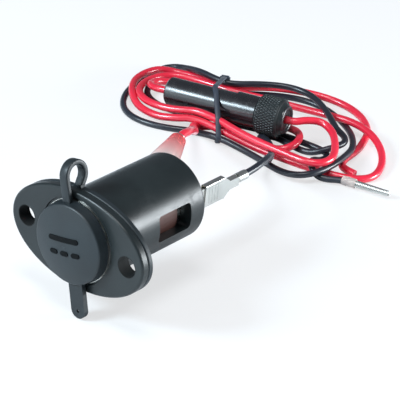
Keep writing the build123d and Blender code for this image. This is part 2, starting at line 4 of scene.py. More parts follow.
import bmesh
import bpy
from mathutils import Matrix, Vector
from mathutils.bvhtree import BVHTree


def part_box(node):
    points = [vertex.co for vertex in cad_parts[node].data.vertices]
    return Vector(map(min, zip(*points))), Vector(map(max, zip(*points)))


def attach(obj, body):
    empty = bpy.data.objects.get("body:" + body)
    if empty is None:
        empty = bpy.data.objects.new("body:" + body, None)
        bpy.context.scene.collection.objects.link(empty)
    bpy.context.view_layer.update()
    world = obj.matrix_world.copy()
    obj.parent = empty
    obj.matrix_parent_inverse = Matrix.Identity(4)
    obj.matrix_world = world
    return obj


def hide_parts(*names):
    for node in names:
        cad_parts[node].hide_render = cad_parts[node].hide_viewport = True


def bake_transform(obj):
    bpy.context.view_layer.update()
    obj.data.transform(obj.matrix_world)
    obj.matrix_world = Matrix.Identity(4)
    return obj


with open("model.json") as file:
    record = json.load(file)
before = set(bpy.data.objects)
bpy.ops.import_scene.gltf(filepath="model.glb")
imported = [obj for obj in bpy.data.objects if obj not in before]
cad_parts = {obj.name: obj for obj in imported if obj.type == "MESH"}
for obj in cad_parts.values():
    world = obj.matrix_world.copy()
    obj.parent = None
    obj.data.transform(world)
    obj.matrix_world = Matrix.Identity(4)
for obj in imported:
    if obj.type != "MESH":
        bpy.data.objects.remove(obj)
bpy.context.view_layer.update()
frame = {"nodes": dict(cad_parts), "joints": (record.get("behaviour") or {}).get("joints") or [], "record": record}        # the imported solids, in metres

mm = 0.001
nodes = frame["nodes"]
slotOf = {entry["node"]: entry["material_slot"] for entry in frame["record"]["subparts"]}
print("frame loaded:", len(nodes), "solids")


# Node helpers

def feed(tree, socket, value):
    # links another node's output, or sets a plain value
    if hasattr(value, "is_output"):
        tree.links.new(value, socket)
    else:
        socket.default_value = value


def sums(tree, operation, *values):
    node = tree.nodes.new("ShaderNodeMath")
    node.operation = operation
    for socket, value in zip(node.inputs, values):
        feed(tree, socket, value)
    return node.outputs[0]


# Camera, light and floor

studio = {
    "azimuth": 37.35,        # degrees, as the photograph was taken
    "elevation": 28.845,
    "roll": 5.708,
    "lens": 180.0,
    "sensor": 36.0,
    "farthest": 10.0,        # metres that the camera sees
    "place": (347.7, -400.3, 307.8),
    "floorLevel": -25.0,
    "floorSize": 3000.0,
    "floorColour": (0.86, 0.88, 0.90, 1.0),
    "floorRoughness": 0.9,
    "floorShine": 0.1,
    "floorGlow": 0.62,        # share of the floor that stays white to the camera
    "ambient": 0.22,
    "ambientColour": (0.80, 0.88, 1.0, 1.0),
}


def viewAxes(azimuth, elevation, roll):
    a, e, r = (math.radians(value) for value in (azimuth, elevation, roll))
    back = Vector((math.sin(a) * math.cos(e), -math.cos(a) * math.cos(e), math.sin(e)))
    level = Vector((math.cos(a), math.sin(a), 0.0))
    upright = back.cross(level)
    right = level * math.cos(r) + upright * math.sin(r)
    return right, back.cross(right), back


def makeCamera():
    data = bpy.data.cameras.new("studioCamera")
    data.lens = studio["lens"]
    data.sensor_width = studio["sensor"]
    data.clip_end = studio["farthest"]
    camera = bpy.data.objects.new("studioCamera", data)
    right, up, back = viewAxes(studio["azimuth"], studio["elevation"], studio["roll"])
    turn = Matrix((right, up, back)).transposed().to_4x4()
    camera.matrix_world = Matrix.Translation(Vector(studio["place"]) * mm) @ turn
    bpy.context.scene.collection.objects.link(camera)
    bpy.context.scene.camera = camera


def seenRays(tree):
    # 1 for rays that meet a white studio: those from the camera and through glass
    light = tree.nodes.new("ShaderNodeLightPath")
    return sums(tree, "MAXIMUM", light.outputs["Is Camera Ray"], light.outputs["Is Transmission Ray"])


def makeWorld():
    world = bpy.data.worlds.new("studioWorld")
    bpy.context.scene.world = world
    world.use_nodes = True
    tree = world.node_tree
    tree.nodes.clear()
    white = tree.nodes.new("ShaderNodeBackground")
    white.inputs["Strength"].default_value = 1.0
    soft = tree.nodes.new("ShaderNodeBackground")
    soft.inputs["Color"].default_value = studio["ambientColour"]
    soft.inputs["Strength"].default_value = studio["ambient"]
    mix = tree.nodes.new("ShaderNodeMixShader")
    out = tree.nodes.new("ShaderNodeOutputWorld")
    tree.links.new(seenRays(tree), mix.inputs["Fac"])
    tree.links.new(soft.outputs[0], mix.inputs[1])
    tree.links.new(white.outputs[0], mix.inputs[2])
    tree.links.new(mix.outputs[0], out.inputs["Surface"])


def makeFloor():
    mesh = bpy.data.meshes.new("studioFloor")
    half = studio["floorSize"] * mm / 2
    level = studio["floorLevel"] * mm
    corners = [(x * half, y * half, level) for x, y in ((-1, -1), (1, -1), (1, 1), (-1, 1))]
    mesh.from_pydata(corners, [], [(0, 1, 2, 3)])
    floor = bpy.data.objects.new("studioFloor", mesh)
    bpy.context.scene.collection.objects.link(floor)
    material = bpy.data.materials.new("paleFloor")
    material.use_nodes = True
    tree = material.node_tree
    paint = tree.nodes["Principled BSDF"]
    paint.inputs["Base Color"].default_value = studio["floorColour"]
    paint.inputs["Roughness"].default_value = studio["floorRoughness"]
    paint.inputs["Specular IOR Level"].default_value = studio["floorShine"]
    share = sums(tree, "MULTIPLY", seenRays(tree), studio["floorGlow"])
    glow = tree.nodes.new("ShaderNodeEmission")
    glow.inputs["Strength"].default_value = 1.0
    mix = tree.nodes.new("ShaderNodeMixShader")
    tree.links.new(share, mix.inputs["Fac"])
    tree.links.new(paint.outputs[0], mix.inputs[1])
    tree.links.new(glow.outputs[0], mix.inputs[2])
    tree.links.new(mix.outputs[0], tree.nodes["Material Output"].inputs["Surface"])
    mesh.materials.append(material)


def softLamp(name, place, target, size, power, colour):
    data = bpy.data.lights.new(name, "AREA")
    data.shape = "RECTANGLE"
    data.size, data.size_y = (side * mm for side in size)
    data.energy = power
    data.color = colour
    lamp = bpy.data.objects.new(name, data)
    aim = (Vector(place) - Vector(target)).to_track_quat("Z", "Y")
    lamp.matrix_world = Matrix.Translation(Vector(place) * mm) @ aim.to_matrix().to_4x4()
    bpy.context.scene.collection.objects.link(lamp)


lampSet = {        # place, target and size in mm, power, colour
    "keyLamp": ((420, 430, 62), (0, 30, 5), (300, 170), 4.2, (0.90, 0.96, 1.0)),
    "bandLamp": ((-250, -640, 95), (-10, 40, 0), (560, 210), 0.9, (0.84, 0.94, 1.0)),
    "fillLamp": ((-330, -560, 470), (-10, 40, 0), (220, 220), 7.6, (0.74, 0.90, 1.0)),
    "topLamp": ((40, -140, 720), (-20, 60, -10), (260, 260), 2.6, (0.96, 0.98, 1.0)),
}

makeCamera()
makeWorld()
makeFloor()
for lampName, lampFacts in lampSet.items():
    softLamp(lampName, *lampFacts)
bpy.context.scene.view_settings.view_transform = "Standard"
print("studio ready")


# Finishes

moulding = {
    "inputs": {"Cloud Scale": 60.0, "Grain Scale": 2400.0, "Mark Scale": 350.0, "Mark Width": 0.06},
    "cloudDetail": 4.0,
    "grainDetail": 2.0,
    "markDetail": 6.0,
    "markRoughness": 0.7,
    "patchScale": 90.0,        # patches in which handling marks gather
    "patchDetail": 2.0,
    "patchBand": (0.5, 0.68),
    "shadeBand": (0.35, 0.65),        # span of the cloud from dark to light
    "roughBand": (0.3, 0.7),
    "markLift": 0.12,        # roughness that a mark adds
    "markDepth": 0.5,
    "bumpStrength": 0.6,
}


def newGroup(name, inputs, outputs):
    group = bpy.data.node_groups.new(name, "ShaderNodeTree")
    for label, value in inputs.items():
        socket = group.interface.new_socket(label, in_out="INPUT", socket_type="NodeSocketFloat")
        socket.default_value = value
    for label in outputs:
        group.interface.new_socket(label, in_out="OUTPUT", socket_type="NodeSocketFloat")
    return group, group.nodes.new("NodeGroupInput").outputs, group.nodes.new("NodeGroupOutput").inputs


def objectPlace(tree):
    return tree.nodes.new("ShaderNodeTexCoord").outputs["Object"]


def noise(tree, vector, scale, detail, roughness=0.55):
    cloud = tree.nodes.new("ShaderNodeTexNoise")
    cloud.inputs["Detail"].default_value = detail
    cloud.inputs["Roughness"].default_value = roughness
    feed(tree, cloud.inputs["Scale"], scale)
    tree.links.new(vector, cloud.inputs["Vector"])
    return cloud.outputs["Fac"]


def remap(tree, value, low, high, toLow=0.0, toHigh=1.0):
    node = tree.nodes.new("ShaderNodeMapRange")
    node.inputs["From Min"].default_value = low
    node.inputs["From Max"].default_value = high
    node.inputs["To Min"].default_value = toLow
    node.inputs["To Max"].default_value = toHigh
    tree.links.new(value, node.inputs["Value"])
    return node.outputs["Result"]


def skinGroup():
    # cloudy shade, handling marks and fine grain of a moulded or plated skin
    group, start, end = newGroup("mouldedSkin", moulding["inputs"], ["Cloud", "Marks", "Grain"])
    place = objectPlace(group)
    cloud = noise(group, place, start["Cloud Scale"], moulding["cloudDetail"])
    grain = noise(group, place, start["Grain Scale"], moulding["grainDetail"])
    field = noise(group, place, start["Mark Scale"], moulding["markDetail"], moulding["markRoughness"])
    ridge = sums(group, "ABSOLUTE", sums(group, "SUBTRACT", field, 0.5))
    thin = sums(group, "DIVIDE", ridge, start["Mark Width"])
    marks = sums(group, "SUBTRACT", 1.0, sums(group, "MINIMUM", thin, 1.0))
    gathered = noise(group, place, moulding["patchScale"], moulding["patchDetail"])
    patch = remap(group, gathered, *moulding["patchBand"])
    group.links.new(cloud, end["Cloud"])
    group.links.new(sums(group, "MULTIPLY", marks, patch), end["Marks"])
    group.links.new(grain, end["Grain"])
    return group


skin = skinGroup()

finishSet = {        # name, dark and light shade, smoothest and dullest, grain in mm, the shader's other values
    "black_plastic": ("blackPlastic", (0.009, 0.0125, 0.0135), (0.014, 0.0190, 0.0200), (0.28, 0.36), 0.015,
                      {"IOR": 1.44}),
    "black_gloss": ("blackGloss", (0.008, 0.008, 0.010), (0.013, 0.013, 0.016), (0.22, 0.30), 0.004,
                    {"IOR": 1.7}),
    "black_rubber": ("blackRubber", (0.010, 0.0145, 0.017), (0.015, 0.022, 0.026), (0.40, 0.50), 0.02,
                     {"IOR": 1.46}),
    "plated_steel": ("platedSteel", (0.62, 0.60, 0.55), (0.78, 0.76, 0.71), (0.22, 0.36), 0.008,
                     {"Metallic": 1.0}),
    "fibre_board": ("fibreBoard", (0.17, 0.055, 0.035), (0.24, 0.085, 0.055), (0.6, 0.8), 0.04, {}),
    "bare_brass": ("bareBrass", (0.62, 0.44, 0.19), (0.74, 0.55, 0.26), (0.25, 0.42), 0.006,
                   {"Metallic": 1.0}),
    "tinned_brass": ("tinnedBrass", (0.54, 0.535, 0.50), (0.68, 0.675, 0.64), (0.24, 0.40), 0.012,
                     {"Metallic": 1.0}),
    "nickel": ("nickel", (0.60, 0.58, 0.54), (0.72, 0.70, 0.66), (0.18, 0.30), 0.004,
               {"Metallic": 1.0}),
    "tie_nylon": ("tieNylon", (0.030, 0.037, 0.052), (0.045, 0.055, 0.075), (0.32, 0.46), 0.01, {}),
    "red_insulation": ("redInsulation", (0.70, 0.010, 0.036), (0.82, 0.018, 0.052), (0.26, 0.36), 0.008,
                       {"IOR": 1.6, "Coat Weight": 0.5, "Coat Roughness": 0.2}),
    "black_insulation": ("blackInsulation", (0.010, 0.012, 0.019), (0.017, 0.020, 0.030), (0.30, 0.42), 0.008,
                         {"Coat Weight": 0.2, "Coat Roughness": 0.3}),
    "clear_vinyl": ("clearVinyl", (0.86, 0.72, 0.68), (0.92, 0.84, 0.80), (0.22, 0.40), 0.02,
                    {"Transmission Weight": 0.6, "IOR": 1.3}),
    # painted shade: the sign is near black, for letters sunk into the cap
    "sign_painted_shade": ("signPaintedShade", (0.0020, 0.0026, 0.0030), (0.0036, 0.0044, 0.0050), (0.6, 0.75), 0.01,
                   {"Specular IOR Level": 0.12}),
    "fuse_glass": ("fuseGlass", (0.93, 0.95, 0.95), (0.97, 0.98, 0.98), (0.02, 0.06), 0.001,
                   {"Transmission Weight": 1.0, "IOR": 1.5}),
}


def skinMaterial(name, dark, light, rough, grainDepth, others):
    material = bpy.data.materials.new(name)
    material.use_nodes = True
    tree = material.node_tree
    shader = tree.nodes["Principled BSDF"]
    coat = tree.nodes.new("ShaderNodeGroup")
    coat.node_tree = skin
    blend = tree.nodes.new("ShaderNodeMix")
    blend.data_type = "RGBA"
    blend.inputs["A"].default_value = (*dark, 1.0)
    blend.inputs["B"].default_value = (*light, 1.0)
    tree.links.new(remap(tree, coat.outputs["Cloud"], *moulding["shadeBand"]), blend.inputs["Factor"])
    tree.links.new(blend.outputs["Result"], shader.inputs["Base Color"])
    base = remap(tree, coat.outputs["Cloud"], *moulding["roughBand"], *rough)
    worn = sums(tree, "MULTIPLY", coat.outputs["Marks"], moulding["markLift"])
    tree.links.new(sums(tree, "ADD", base, worn), shader.inputs["Roughness"])
    bump = tree.nodes.new("ShaderNodeBump")
    bump.inputs["Distance"].default_value = grainDepth * mm
    bump.inputs["Strength"].default_value = moulding["bumpStrength"]
    scratch = sums(tree, "MULTIPLY", coat.outputs["Marks"], moulding["markDepth"])
    tree.links.new(sums(tree, "SUBTRACT", coat.outputs["Grain"], scratch), bump.inputs["Height"])
    tree.links.new(bump.outputs["Normal"], shader.inputs["Normal"])
    for label, value in others.items():
        shader.inputs[label].default_value = value
    return material


shellWall = {
    "radius": (10.6, 10.9),        # the shade begins and is full
    "depth": (2.0, 4.0),
    "look": {"Base Color": (0.062, 0.022, 0.016, 1.0), "Roughness": 0.5, "Metallic": 0.3},
}
# painted shade: the screw holes' walls are made near black and dull
screwHoleShade = {
    "spacing": 41.6,
    "radius": 3.4,
    "fade": (0.1, 0.25),        # outside the wall
    "look": {"Base Color": (0.003, 0.004, 0.004, 1.0), "Roughness": 0.85},
}
sleeve = {
    "start": (-12.3, 50.2, 3.4),        # where red begins to show through the live terminal's sleeve
    "direction": (-0.2924, 0.9193, 0.2636),
    "length": 11.0,
    "fade": (2.0, 2.1),        # lengths from the start where the red ends again
    "look": {"Base Color": (0.80, 0.12, 0.13, 1.0), "Roughness": 0.25},
}


def splitPlace(tree):
    split = tree.nodes.new("ShaderNodeSeparateXYZ")
    tree.links.new(objectPlace(tree), split.inputs[0])
    return split.outputs


def reach(tree, first, second):
    squares = [sums(tree, "MULTIPLY", away, away) for away in (first, second)]
    return sums(tree, "SQRT", sums(tree, "ADD", *squares))


def shellMask(tree):
    # 1 on the shell's outer wall inside the barrel, which the window shows
    place = splitPlace(tree)
    outer = remap(tree, reach(tree, place["X"], place["Z"]), *(edge * mm for edge in shellWall["radius"]))
    deep = remap(tree, place["Y"], *(edge * mm for edge in shellWall["depth"]))
    return sums(tree, "MULTIPLY", outer, deep)


def holeShadeMask(tree):
    # 1 on the walls of the two screw holes, which painted shade darkens
    place = splitPlace(tree)
    sideways = sums(tree, "SUBTRACT", sums(tree, "ABSOLUTE", place["X"]), screwHoleShade["spacing"] / 2 * mm)
    near, far = ((screwHoleShade["radius"] + more) * mm for more in screwHoleShade["fade"])
    return remap(tree, reach(tree, sideways, place["Z"]), near, far, 1.0, 0.0)


def sleeveMask(tree):
    # 0 to 1 along the sleeve from its start, and 0 again well past it
    dot = tree.nodes.new("ShaderNodeVectorMath")
    dot.operation = "DOT_PRODUCT"
    dot.inputs[1].default_value = sleeve["direction"]
    tree.links.new(objectPlace(tree), dot.inputs[0])
    origin = Vector(sleeve["start"]).dot(Vector(sleeve["direction"])) * mm
    inward = remap(tree, dot.outputs["Value"], origin, origin + sleeve["length"] * mm)
    near, far = (origin + share * sleeve["length"] * mm for share in sleeve["fade"])
    return sums(tree, "MULTIPLY", inward, remap(tree, dot.outputs["Value"], near, far, 1.0, 0.0))


def overlay(material, makeMask, look):
    # lays another look over a finish where the mask is 1
    tree = material.node_tree
    mask = makeMask(tree)
    for label, goal in look.items():
        socket = tree.nodes["Principled BSDF"].inputs[label]
        mix = tree.nodes.new("ShaderNodeMix")
        mix.data_type = "RGBA" if label == "Base Color" else "FLOAT"
        ends = [entry for entry in mix.inputs if entry.enabled]
        feed(tree, ends[1], socket.links[0].from_socket if socket.is_linked else socket.default_value)
        ends[2].default_value = goal
        tree.links.new(mask, ends[0])
        tree.links.new(next(entry for entry in mix.outputs if entry.enabled), socket)


def makeFinishes():
    made = {slot: skinMaterial(*facts) for slot, facts in finishSet.items()}
    # painted shade on the walls of the screw holes
    for slot in ("black_plastic", "black_rubber"):
        overlay(made[slot], holeShadeMask, screwHoleShade["look"])
    overlay(made["plated_steel"], shellMask, shellWall["look"])
    overlay(made["clear_vinyl"], sleeveMask, sleeve["look"])
    return made


finishes = makeFinishes()
for nodeName, node in nodes.items():
    node.data.materials.clear()
    node.data.materials.append(finishes[slotOf[nodeName]])
print("finishes made:", len(finishes))


# Leads

hank = {
    "x": -41.2,        # the hank's own frame on the floor, in millimetres and degrees
    "y": 140.2,
    "angle": 14.0,
    "tie": -18.0,        # where the tie draws the turns together
    "perQuarter": 8,        # points of a lead in a quarter turn
    "leastStep": 1.5,        # points of a lead that lie closer are left out
}


def onHank(point):
    turn = math.radians(hank["angle"])
    x, y, height = point
    return (
        hank["x"] + x * math.cos(turn) - y * math.sin(turn),
        hank["y"] + x * math.sin(turn) + y * math.cos(turn),
        studio["floorLevel"] + height,
    )


def lobe(side, reach, shift, rear, heights, front=(0.0, 0.0, 0.0), part=(0.0, 1.0), back=False):
    # half a turn from the tie round the right (1) or left (-1) end
    # rear and front give waist, bulge and skew
    count = round(2 * hank["perQuarter"] * (part[1] - part[0]))
    points = []
    for i in range(count + 1):
        around = math.pi * (part[0] + (part[1] - part[0]) * i / count)
        behind = around <= math.pi / 2
        waist, bulge, skew = rear if behind else front
        swing = around if behind else math.pi - around
        y = waist * math.cos(swing) + bulge * math.sin(2 * swing) + skew * math.sin(4 * swing)
        y = (y if behind else -y) + shift * math.sin(swing) ** 2
        spot = i / count * (len(heights) - 1)
        k = min(int(spot), len(heights) - 2)
        height = heights[k] + (heights[k + 1] - heights[k]) * (spot - k)
        points.append(onHank((hank["tie"] + side * reach * math.sin(around), y, height)))
    return points[::-1] if back else points


def chain(*stretches):
    # one line of points, without those that only repeat the last one
    line = []
    for stretch in stretches:
        for point in stretch:
            if not line or math.dist(line[-1], point) > hank["leastStep"]:
                line.append(point)
    return [Vector(point) * mm for point in line]


feedLead = {
    "diameter": 2.8,
    "length": 0.538,
    "out": [(10.56, -8.6, 10.13), (14.2, -8.6, 10.29), (17.6, -8.5, 10.44), (20.6, -5.4, 10.8),
            (25.5, -2.0, 10.3), (31.0, -4.6, 9.0), (35.0, -11.2, 7.8), (37.6, -18.5, 7.0), (37.2, -23.6, 6.7),
            (34.0, -27.2, 6.6), (28.6, -27.6, 6.5), (22.0, -26.2, 6.5), (15.0, -24.8, 6.5), (7.0, -22.8, 6.4),
            (-1.0, -20.4, 6.7), (-8.0, -18.0, 7.3)],
    "turns": [
        {"side": -1, "reach": 29.6, "shift": -2.0, "rear": (11.7, 4.6, -1.0), "front": (15.4, 3.2, 0.2),
         "heights": (4.7, 4.5, 4.6, 4.6, 4.6, 4.6, 4.8, 5.4, 7.1), "back": True},
        {"side": 1, "reach": 70.5, "shift": -12.0, "rear": (11.7, 12.2, -1.6), "front": (18.0, 3.4, -1.0),
         "heights": (4.7, 4.0, 3.6, 4.1, 5.1, 4.6, 3.2, 2.0, 1.5, 1.4, 1.4, 1.4, 1.4, 1.4, 1.4, 3.4, 5.3)},
        {"side": -1, "reach": 34.4, "shift": 3.0, "rear": (14.6, 7.0, -0.8), "front": (18.0, 5.0, 0.8),
         "heights": (4.7, 3.0, 2.2, 3.6, 3.9, 3.8, 2.6, 3.0, 5.3), "back": True},
        {"side": 1, "reach": 56.8, "shift": 8.0, "rear": (14.6, 18.4, 3.0), "part": (0.0, 0.5),
         "heights": (4.7, 4.6, 3.2, 2.0, 1.5, 1.4, 1.4, 1.4, 1.4)},
    ],
    "end": [(39.4, 2.5, 1.4), (39.0, -3.0, 1.4), (38.2, -8.2, 1.4), (38.6, -12.4, 1.4), (41.0, -15.6, 1.4),
            (45.6, -16.8, 1.5)],
}
groundLead = {
    "diameter": 2.4,
    "length": 0.614,
    "out": [(7.2, 64.2, 0.0), (7.2, 72.2, 0.0), (6.2, 79.5, 0.4), (3.5, 87.0, -1.0), (-1.0, 94.0, -5.0),
            (-6.5, 101.0, -10.5), (-12.5, 107.0, -16.0)],
    "inside": [(18.2, -34.6, 5.4), (17.4, -30.2, 3.9), (16.6, -25.6, 3.8), (14.4, -21.0, 4.4), (11.4, -17.8, 4.8),
               (8.2, -15.2, 4.2), (5.6, -11.6, 1.9), (6.4, -8.2, 1.25), (10.4, -6.9, 1.2), (15.5, -8.6, 1.2),
               (21.0, -10.6, 1.2), (25.0, -11.2, 1.4), (28.5, -11.0, 2.6), (31.6, -9.6, 4.0),
               (34.2, -6.6, 4.7), (35.6, -2.6, 4.9), (33.8, 1.4, 5.1)],
    "turns": [
        {"side": 1, "reach": 52.0, "shift": 2.0, "rear": (12.0, 7.0, 7.5), "part": (0.0, 0.36),
         "heights": (7.2, 7.2, 7.2, 6.6, 5.3), "back": True},
        {"side": -1, "reach": 35.0, "shift": 2.0, "rear": (12.0, 13.6, -5.6), "front": (20.9, 8.6, -0.4),
         "heights": (7.2, 7.2, 7.1, 5.2, 2.8, 1.4, 1.2, 1.2, 1.2, 1.2, 1.2, 1.2, 1.2, 1.2, 1.2, 1.2, 1.3)},
        {"side": 1, "reach": 57.5, "shift": -7.0, "rear": (14.4, 15.2, 4.5), "front": (20.9, 12.9, -6.4),
         "heights": (2.2, 1.8, 1.5, 1.3, 1.4, 2.4, 3.8, 4.1, 4.1, 4.1, 4.0, 3.0, 1.6, 1.3, 1.3, 2.2, 1.3),
         "back": True},
        {"side": -1, "reach": 29.5, "shift": 4.0, "rear": (14.4, 1.3, -0.7), "front": (8.6, 4.1, 0.0),
         "heights": (2.2, 1.5, 1.3, 1.2, 1.2, 1.2, 1.2, 1.4, 2.2)},
    ],
    "end": [(-6.0, -6.5, 1.4), (6.0, -4.4, 1.25), (14.0, -3.9, 1.2), (21.0, -4.9, 1.2), (27.5, -6.0, 1.25),
            (31.2, -7.8, 1.3), (32.4, -11.6, 1.4), (31.2, -15.6, 1.8), (30.4, -19.2, 3.6), (30.6, -22.4, 4.4),
            (32.4, -25.4, 3.2), (35.4, -26.8, 1.6), (39.0, -26.3, 1.4), (42.6, -25.3, 2.0), (46.8, -25.2, 2.4)],
}
liveLead = {
    "diameter": 2.8,
    "length": 0.217,
    "out": [(-14.67, 57.66, 5.58), (-16.43, 63.17, 7.16), (-17.6, 68.0, 5.9), (-21.2, 74.6, 3.2),
            (-27.6, 84.0, -2.6), (-34.8, 94.0, -9.3), (-42.2, 103.4, -15.1)],
    "inside": [(-13.6, -27.5, 6.0), (-16.0, -23.6, 4.9), (-16.6, -20.9, 3.9), (-16.4, -18.0, 2.2),
               (-14.6, -14.8, 1.6), (-11.0, -12.8, 1.8), (-5.5, -12.0, 1.4), (3.0, -13.4, 1.4), (9.4, -16.4, 1.5),
               (14.0, -17.5, 2.0), (17.9, -16.4, 2.8), (20.0, -13.2, 3.7), (20.2, -9.4, 4.0), (19.2, -6.0, 4.0),
               (17.0, -3.0, 3.9), (13.2, -0.4, 3.0), (7.5, 1.8, 1.9), (-1.0, 3.8, 1.5), (-10.0, 7.4, 1.5),
               (-18.0, 9.2, 2.4), (-27.0, 8.8, 2.6), (-34.5, 7.4, 3.6), (-40.6, 4.6, 4.8), (-43.8, -0.2, 5.8),
               (-43.4, -5.2, 6.7), (-39.6, -8.4, 7.5), (-34.6, -8.7, 8.1), (-30.8, -8.6, 8.33)],
}
leadSkin = {
    "sides": 5,        # Blender's bevel resolution
    "smoothness": 6,
    "order": 3,
}


def leadPoints(facts, outOnHank=False):
    out = [onHank(point) for point in facts["out"]] if outOnHank else facts["out"]
    inside = [onHank(point) for point in facts.get("inside", [])]
    turns = [lobe(**turn) for turn in facts.get("turns", [])]
    end = [onHank(point) for point in facts.get("end", [])]
    return chain(out, inside, *turns, end)


def makeLead(name, points, facts, finish, replaced):
    data = bpy.data.curves.new(name, "CURVE")
    data.dimensions = "3D"
    data.bevel_depth = facts["diameter"] * mm / 2
    data.bevel_resolution = leadSkin["sides"]
    data.resolution_u = leadSkin["smoothness"]
    data.use_fill_caps = True
    spline = data.splines.new("NURBS")
    spline.points.add(len(points) - 1)
    for knot, point in zip(spline.points, points):
        knot.co = (*point, 1.0)
    spline.order_u = leadSkin["order"]
    spline.use_endpoint_u = True
    lead = bpy.data.objects.new(name, data)
    bpy.context.scene.collection.objects.link(lead)
    data.materials.append(finishes[finish])
    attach(lead, "socket")
    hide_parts(*replaced)


feedLine = leadPoints(feedLead, outOnHank=True)
groundLine = leadPoints(groundLead)
liveLine = leadPoints(liveLead)
makeLead("feedLead", feedLine, feedLead, "red_insulation", ["feed_lead", "lead_hank"])
makeLead("liveLead", liveLine, liveLead, "red_insulation", ["live_lead", "fuse_lead"])
makeLead("groundLead", groundLine, groundLead, "black_insulation", ["ground_lead", "ground_tail"])
print("leads laid")


# Small pieces

def keepPiece(name, mesh, finish, body=None, replaced=()):
    piece = bpy.data.objects.new(name, mesh)
    bpy.context.scene.collection.objects.link(piece)
    if not mesh.materials:
        mesh.materials.append(finishes[finish])
    if body:
        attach(piece, body)
    if replaced:
        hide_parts(*replaced)
    return piece


def sweepMesh(name, spots, frames, outline, closed=False):
    # outline points (across, out) carried along spots; frames gives the two directions at each spot
    mesh = bpy.data.meshes.new(name)
    build = bmesh.new()
    rings = []
    for spot, (across, outward) in zip(spots, frames):
        rings.append([build.verts.new(spot + across * a + outward * b) for a, b in outline])
    count = len(outline)
    pairs = list(zip(rings, rings[1:])) + ([(rings[-1], rings[0])] if closed else [])
    for first, second in pairs:
        for i in range(count):
            j = (i + 1) % count
            build.faces.new((first[i], first[j], second[j], second[i]))
    if not closed:
        build.faces.new(rings[0][::-1])
        build.faces.new(rings[-1])
    bmesh.ops.recalc_face_normals(build, faces=build.faces)
    build.to_mesh(mesh)
    build.free()
    return mesh


def roundedOutline(width, height, corner, steps=3):
    points = []
    for sx, sy, start in ((1, 1, 0), (-1, 1, 90), (-1, -1, 180), (1, -1, 270)):
        for i in range(steps + 1):
            angle = math.radians(start + 90 * i / steps)
            points.append((
                (sx * (width / 2 - corner) + corner * math.cos(angle)) * mm,
                (sy * (height / 2 - corner) + corner * math.sin(angle)) * mm,
            ))
    return points


def smoothed(mesh, angle=35.0):
    mesh.shade_smooth()
    mesh.set_sharp_from_angle(angle=math.radians(angle))
    return mesh


# Strap between cap and gasket

strap = {
    "turn": 12.0,        # the soft moulding sits this far round on the flange
    "width": 3.2,
    "thickness": 1.7,
    "corner": 0.45,
    "loopHeight": 21.0,
    "loopDepth": -2.6,
    "loopRadius": 4.0,
    "capEnd": (-6.3, 13.2),        # depth and height where it leaves the cap
    "gasketEnd": (-0.85, 16.6),
    "steps": 40,
    "endSteps": 6,
}


def tangentAngle(centre, radius, point, side):
    away = math.atan2(point[1] - centre[1], point[0] - centre[0])
    return away + side * math.acos(radius / math.dist(centre, point))


def strapLine():
    centre = (strap["loopDepth"], strap["loopHeight"])
    radius = strap["loopRadius"]
    start = tangentAngle(centre, radius, strap["capEnd"], -1)
    stop = tangentAngle(centre, radius, strap["gasketEnd"], 1)
    while stop > start:
        stop -= 2 * math.pi
    arc = []
    for i in range(strap["steps"] + 1):
        angle = start + (stop - start) * i / strap["steps"]
        arc.append((centre[0] + radius * math.cos(angle), centre[1] + radius * math.sin(angle)))
    runs = []
    for first, last in ((strap["capEnd"], arc[0]), (arc[-1], strap["gasketEnd"])):
        runs.append([])
        for i in range(strap["endSteps"] + 1):
            runs[-1].append(tuple(a + (b - a) * i / strap["endSteps"] for a, b in zip(first, last)))
    return runs[0][:-1] + arc + runs[1][1:]


def makeStrap():
    turn = math.radians(strap["turn"])
    up = Vector((-math.sin(turn), 0, math.cos(turn)))
    side = Vector((math.cos(turn), 0, math.sin(turn)))
    line = [Vector((0, depth, 0)) * mm + up * height * mm for depth, height in strapLine()]
    frames = []
    for i in range(len(line)):
        along = (line[min(i + 1, len(line) - 1)] - line[max(i - 1, 0)]).normalized()
        frames.append((side, side.cross(along)))
    outline = roundedOutline(strap["width"], strap["thickness"], strap["corner"])
    mesh = smoothed(sweepMesh("capStrap", line, frames, outline), angle=50.0)
    piece = keepPiece("capStrap", mesh, "black_rubber", replaced=["cap_strap"])
    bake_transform(piece)


makeStrap()
print("strap made")


# Sign on the cap: direct current, a long bar over three dashes

sign = {
    "turn": 12.0,
    "barLength": 12.0,
    "barWidth": 1.7,
    "dashLength": 3.1,
    "spread": 2.3,        # from the middle of the sign to each row
    "raise": 0.32,
    "sink": 0.25,
    "corner": 0.45,        # share of the bar's width
    "endShares": (0.0, 0.15, 0.5, 1.0),        # where a rounded end has its rows of points
    "bodyRows": 4,
    "topShare": 0.8,        # the top's width and the sides' height, before the edge is rounded off
    "sideShare": 0.6,
    "rayStart": -30.0,        # in front of the cap
}


